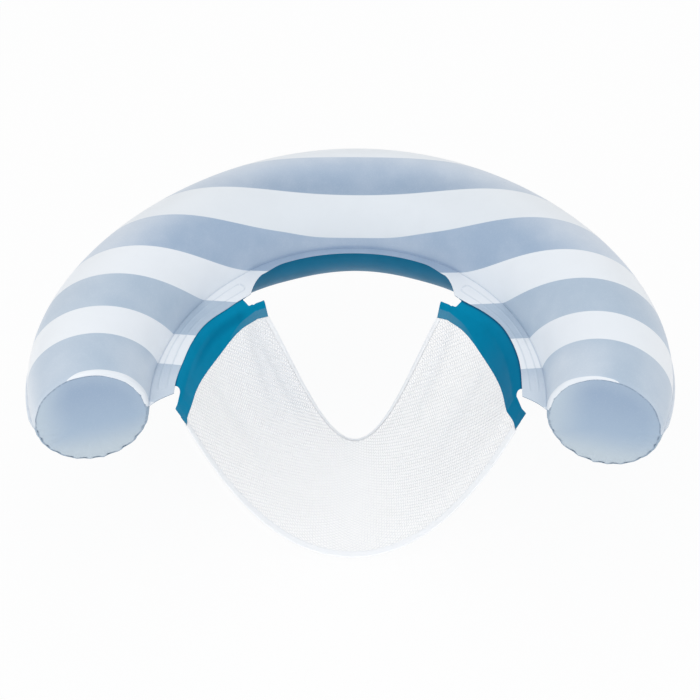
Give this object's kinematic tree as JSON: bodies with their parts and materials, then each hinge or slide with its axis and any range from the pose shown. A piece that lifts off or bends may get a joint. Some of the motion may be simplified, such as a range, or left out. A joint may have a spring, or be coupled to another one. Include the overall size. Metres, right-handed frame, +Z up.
{
  "type": "inflatable pool chair",
  "caption": "Floating pool chair: a horseshoe air ring with flat end caps and a mesh seat slung between its arms.",
  "frame": {"origin": "on the ring's seam plane and on its mirror plane, halfway between the back of the tube's centreline and the arms' ends", "axes": "+Z up, +Y towards the back of the ring, +X to the sitter's left arm as seen from the open front, the picture's right"},
  "size_m": [1.0074, 0.6872, 0.4477],
  "materials": {
    "striped_vinyl": "satin",
    "teal_vinyl": "satin",
    "cap_vinyl": "satin",
    "clear_vinyl": "gloss",
    "white_mesh": "woven"
  },
  "bodies": {
    "float": {"left_top_skin": "striped_vinyl", "right_top_skin": "striped_vinyl", "left_bottom_skin": "teal_vinyl", "right_bottom_skin": "teal_vinyl", "chamber_bulkhead": "clear_vinyl", "left_end_cap": "cap_vinyl", "right_end_cap": "cap_vinyl", "left_seat_strip": "teal_vinyl", "right_seat_strip": "teal_vinyl", "left_strip_backing": "teal_vinyl", "right_strip_backing": "teal_vinyl", "mesh_seat": "white_mesh", "back_hem": "white_mesh", "front_hem": "white_mesh", "left_valve_flange": "clear_vinyl", "right_valve_flange": "clear_vinyl"},
    "left_stem": {"left_valve_stem": "clear_vinyl"},
    "left_plug": {"left_valve_plug": "clear_vinyl"},
    "left_flap": {"left_valve_flap": "clear_vinyl"},
    "right_stem": {"right_valve_stem": "clear_vinyl"},
    "right_plug": {"right_valve_plug": "clear_vinyl"},
    "right_flap": {"right_valve_flap": "clear_vinyl"}
  },
  "joints": [
    {"name": "left_stem_slide", "type": "slide", "parent": "float", "child": "left_stem", "axis": [-0.3922, 0.8003, 0.4536], "range_m": [0, 0.012]},
    {"name": "left_plug_hinge", "type": "hinge", "parent": "left_stem", "child": "left_plug", "pos_m": [-0.1917, 0.32565, 0.05808], "axis": [0.8998, 0.4362, 0.0083], "range_deg": [0, 150]},
    {"name": "left_flap_hinge", "type": "hinge", "parent": "left_stem", "child": "left_flap", "pos_m": [-0.18469, 0.31139, 0.04741], "axis": [-0.8998, -0.4362, -0.0083], "range_deg": [0, 60], "stiffness_Nm_per_rad": 0.0001},
    {"name": "right_stem_slide", "type": "slide", "parent": "float", "child": "right_stem", "axis": [0.3922, 0.8003, 0.4536], "range_m": [0, 0.012]},
    {"name": "right_plug_hinge", "type": "hinge", "parent": "right_stem", "child": "right_plug", "pos_m": [0.1917, 0.32565, 0.05808], "axis": [0.8998, -0.4362, -0.0083], "range_deg": [0, 150]},
    {"name": "right_flap_hinge", "type": "hinge", "parent": "right_stem", "child": "right_flap", "pos_m": [0.18469, 0.31139, 0.04741], "axis": [-0.8998, 0.4362, 0.0083], "range_deg": [0, 60], "stiffness_Nm_per_rad": 0.0001}
  ]
}
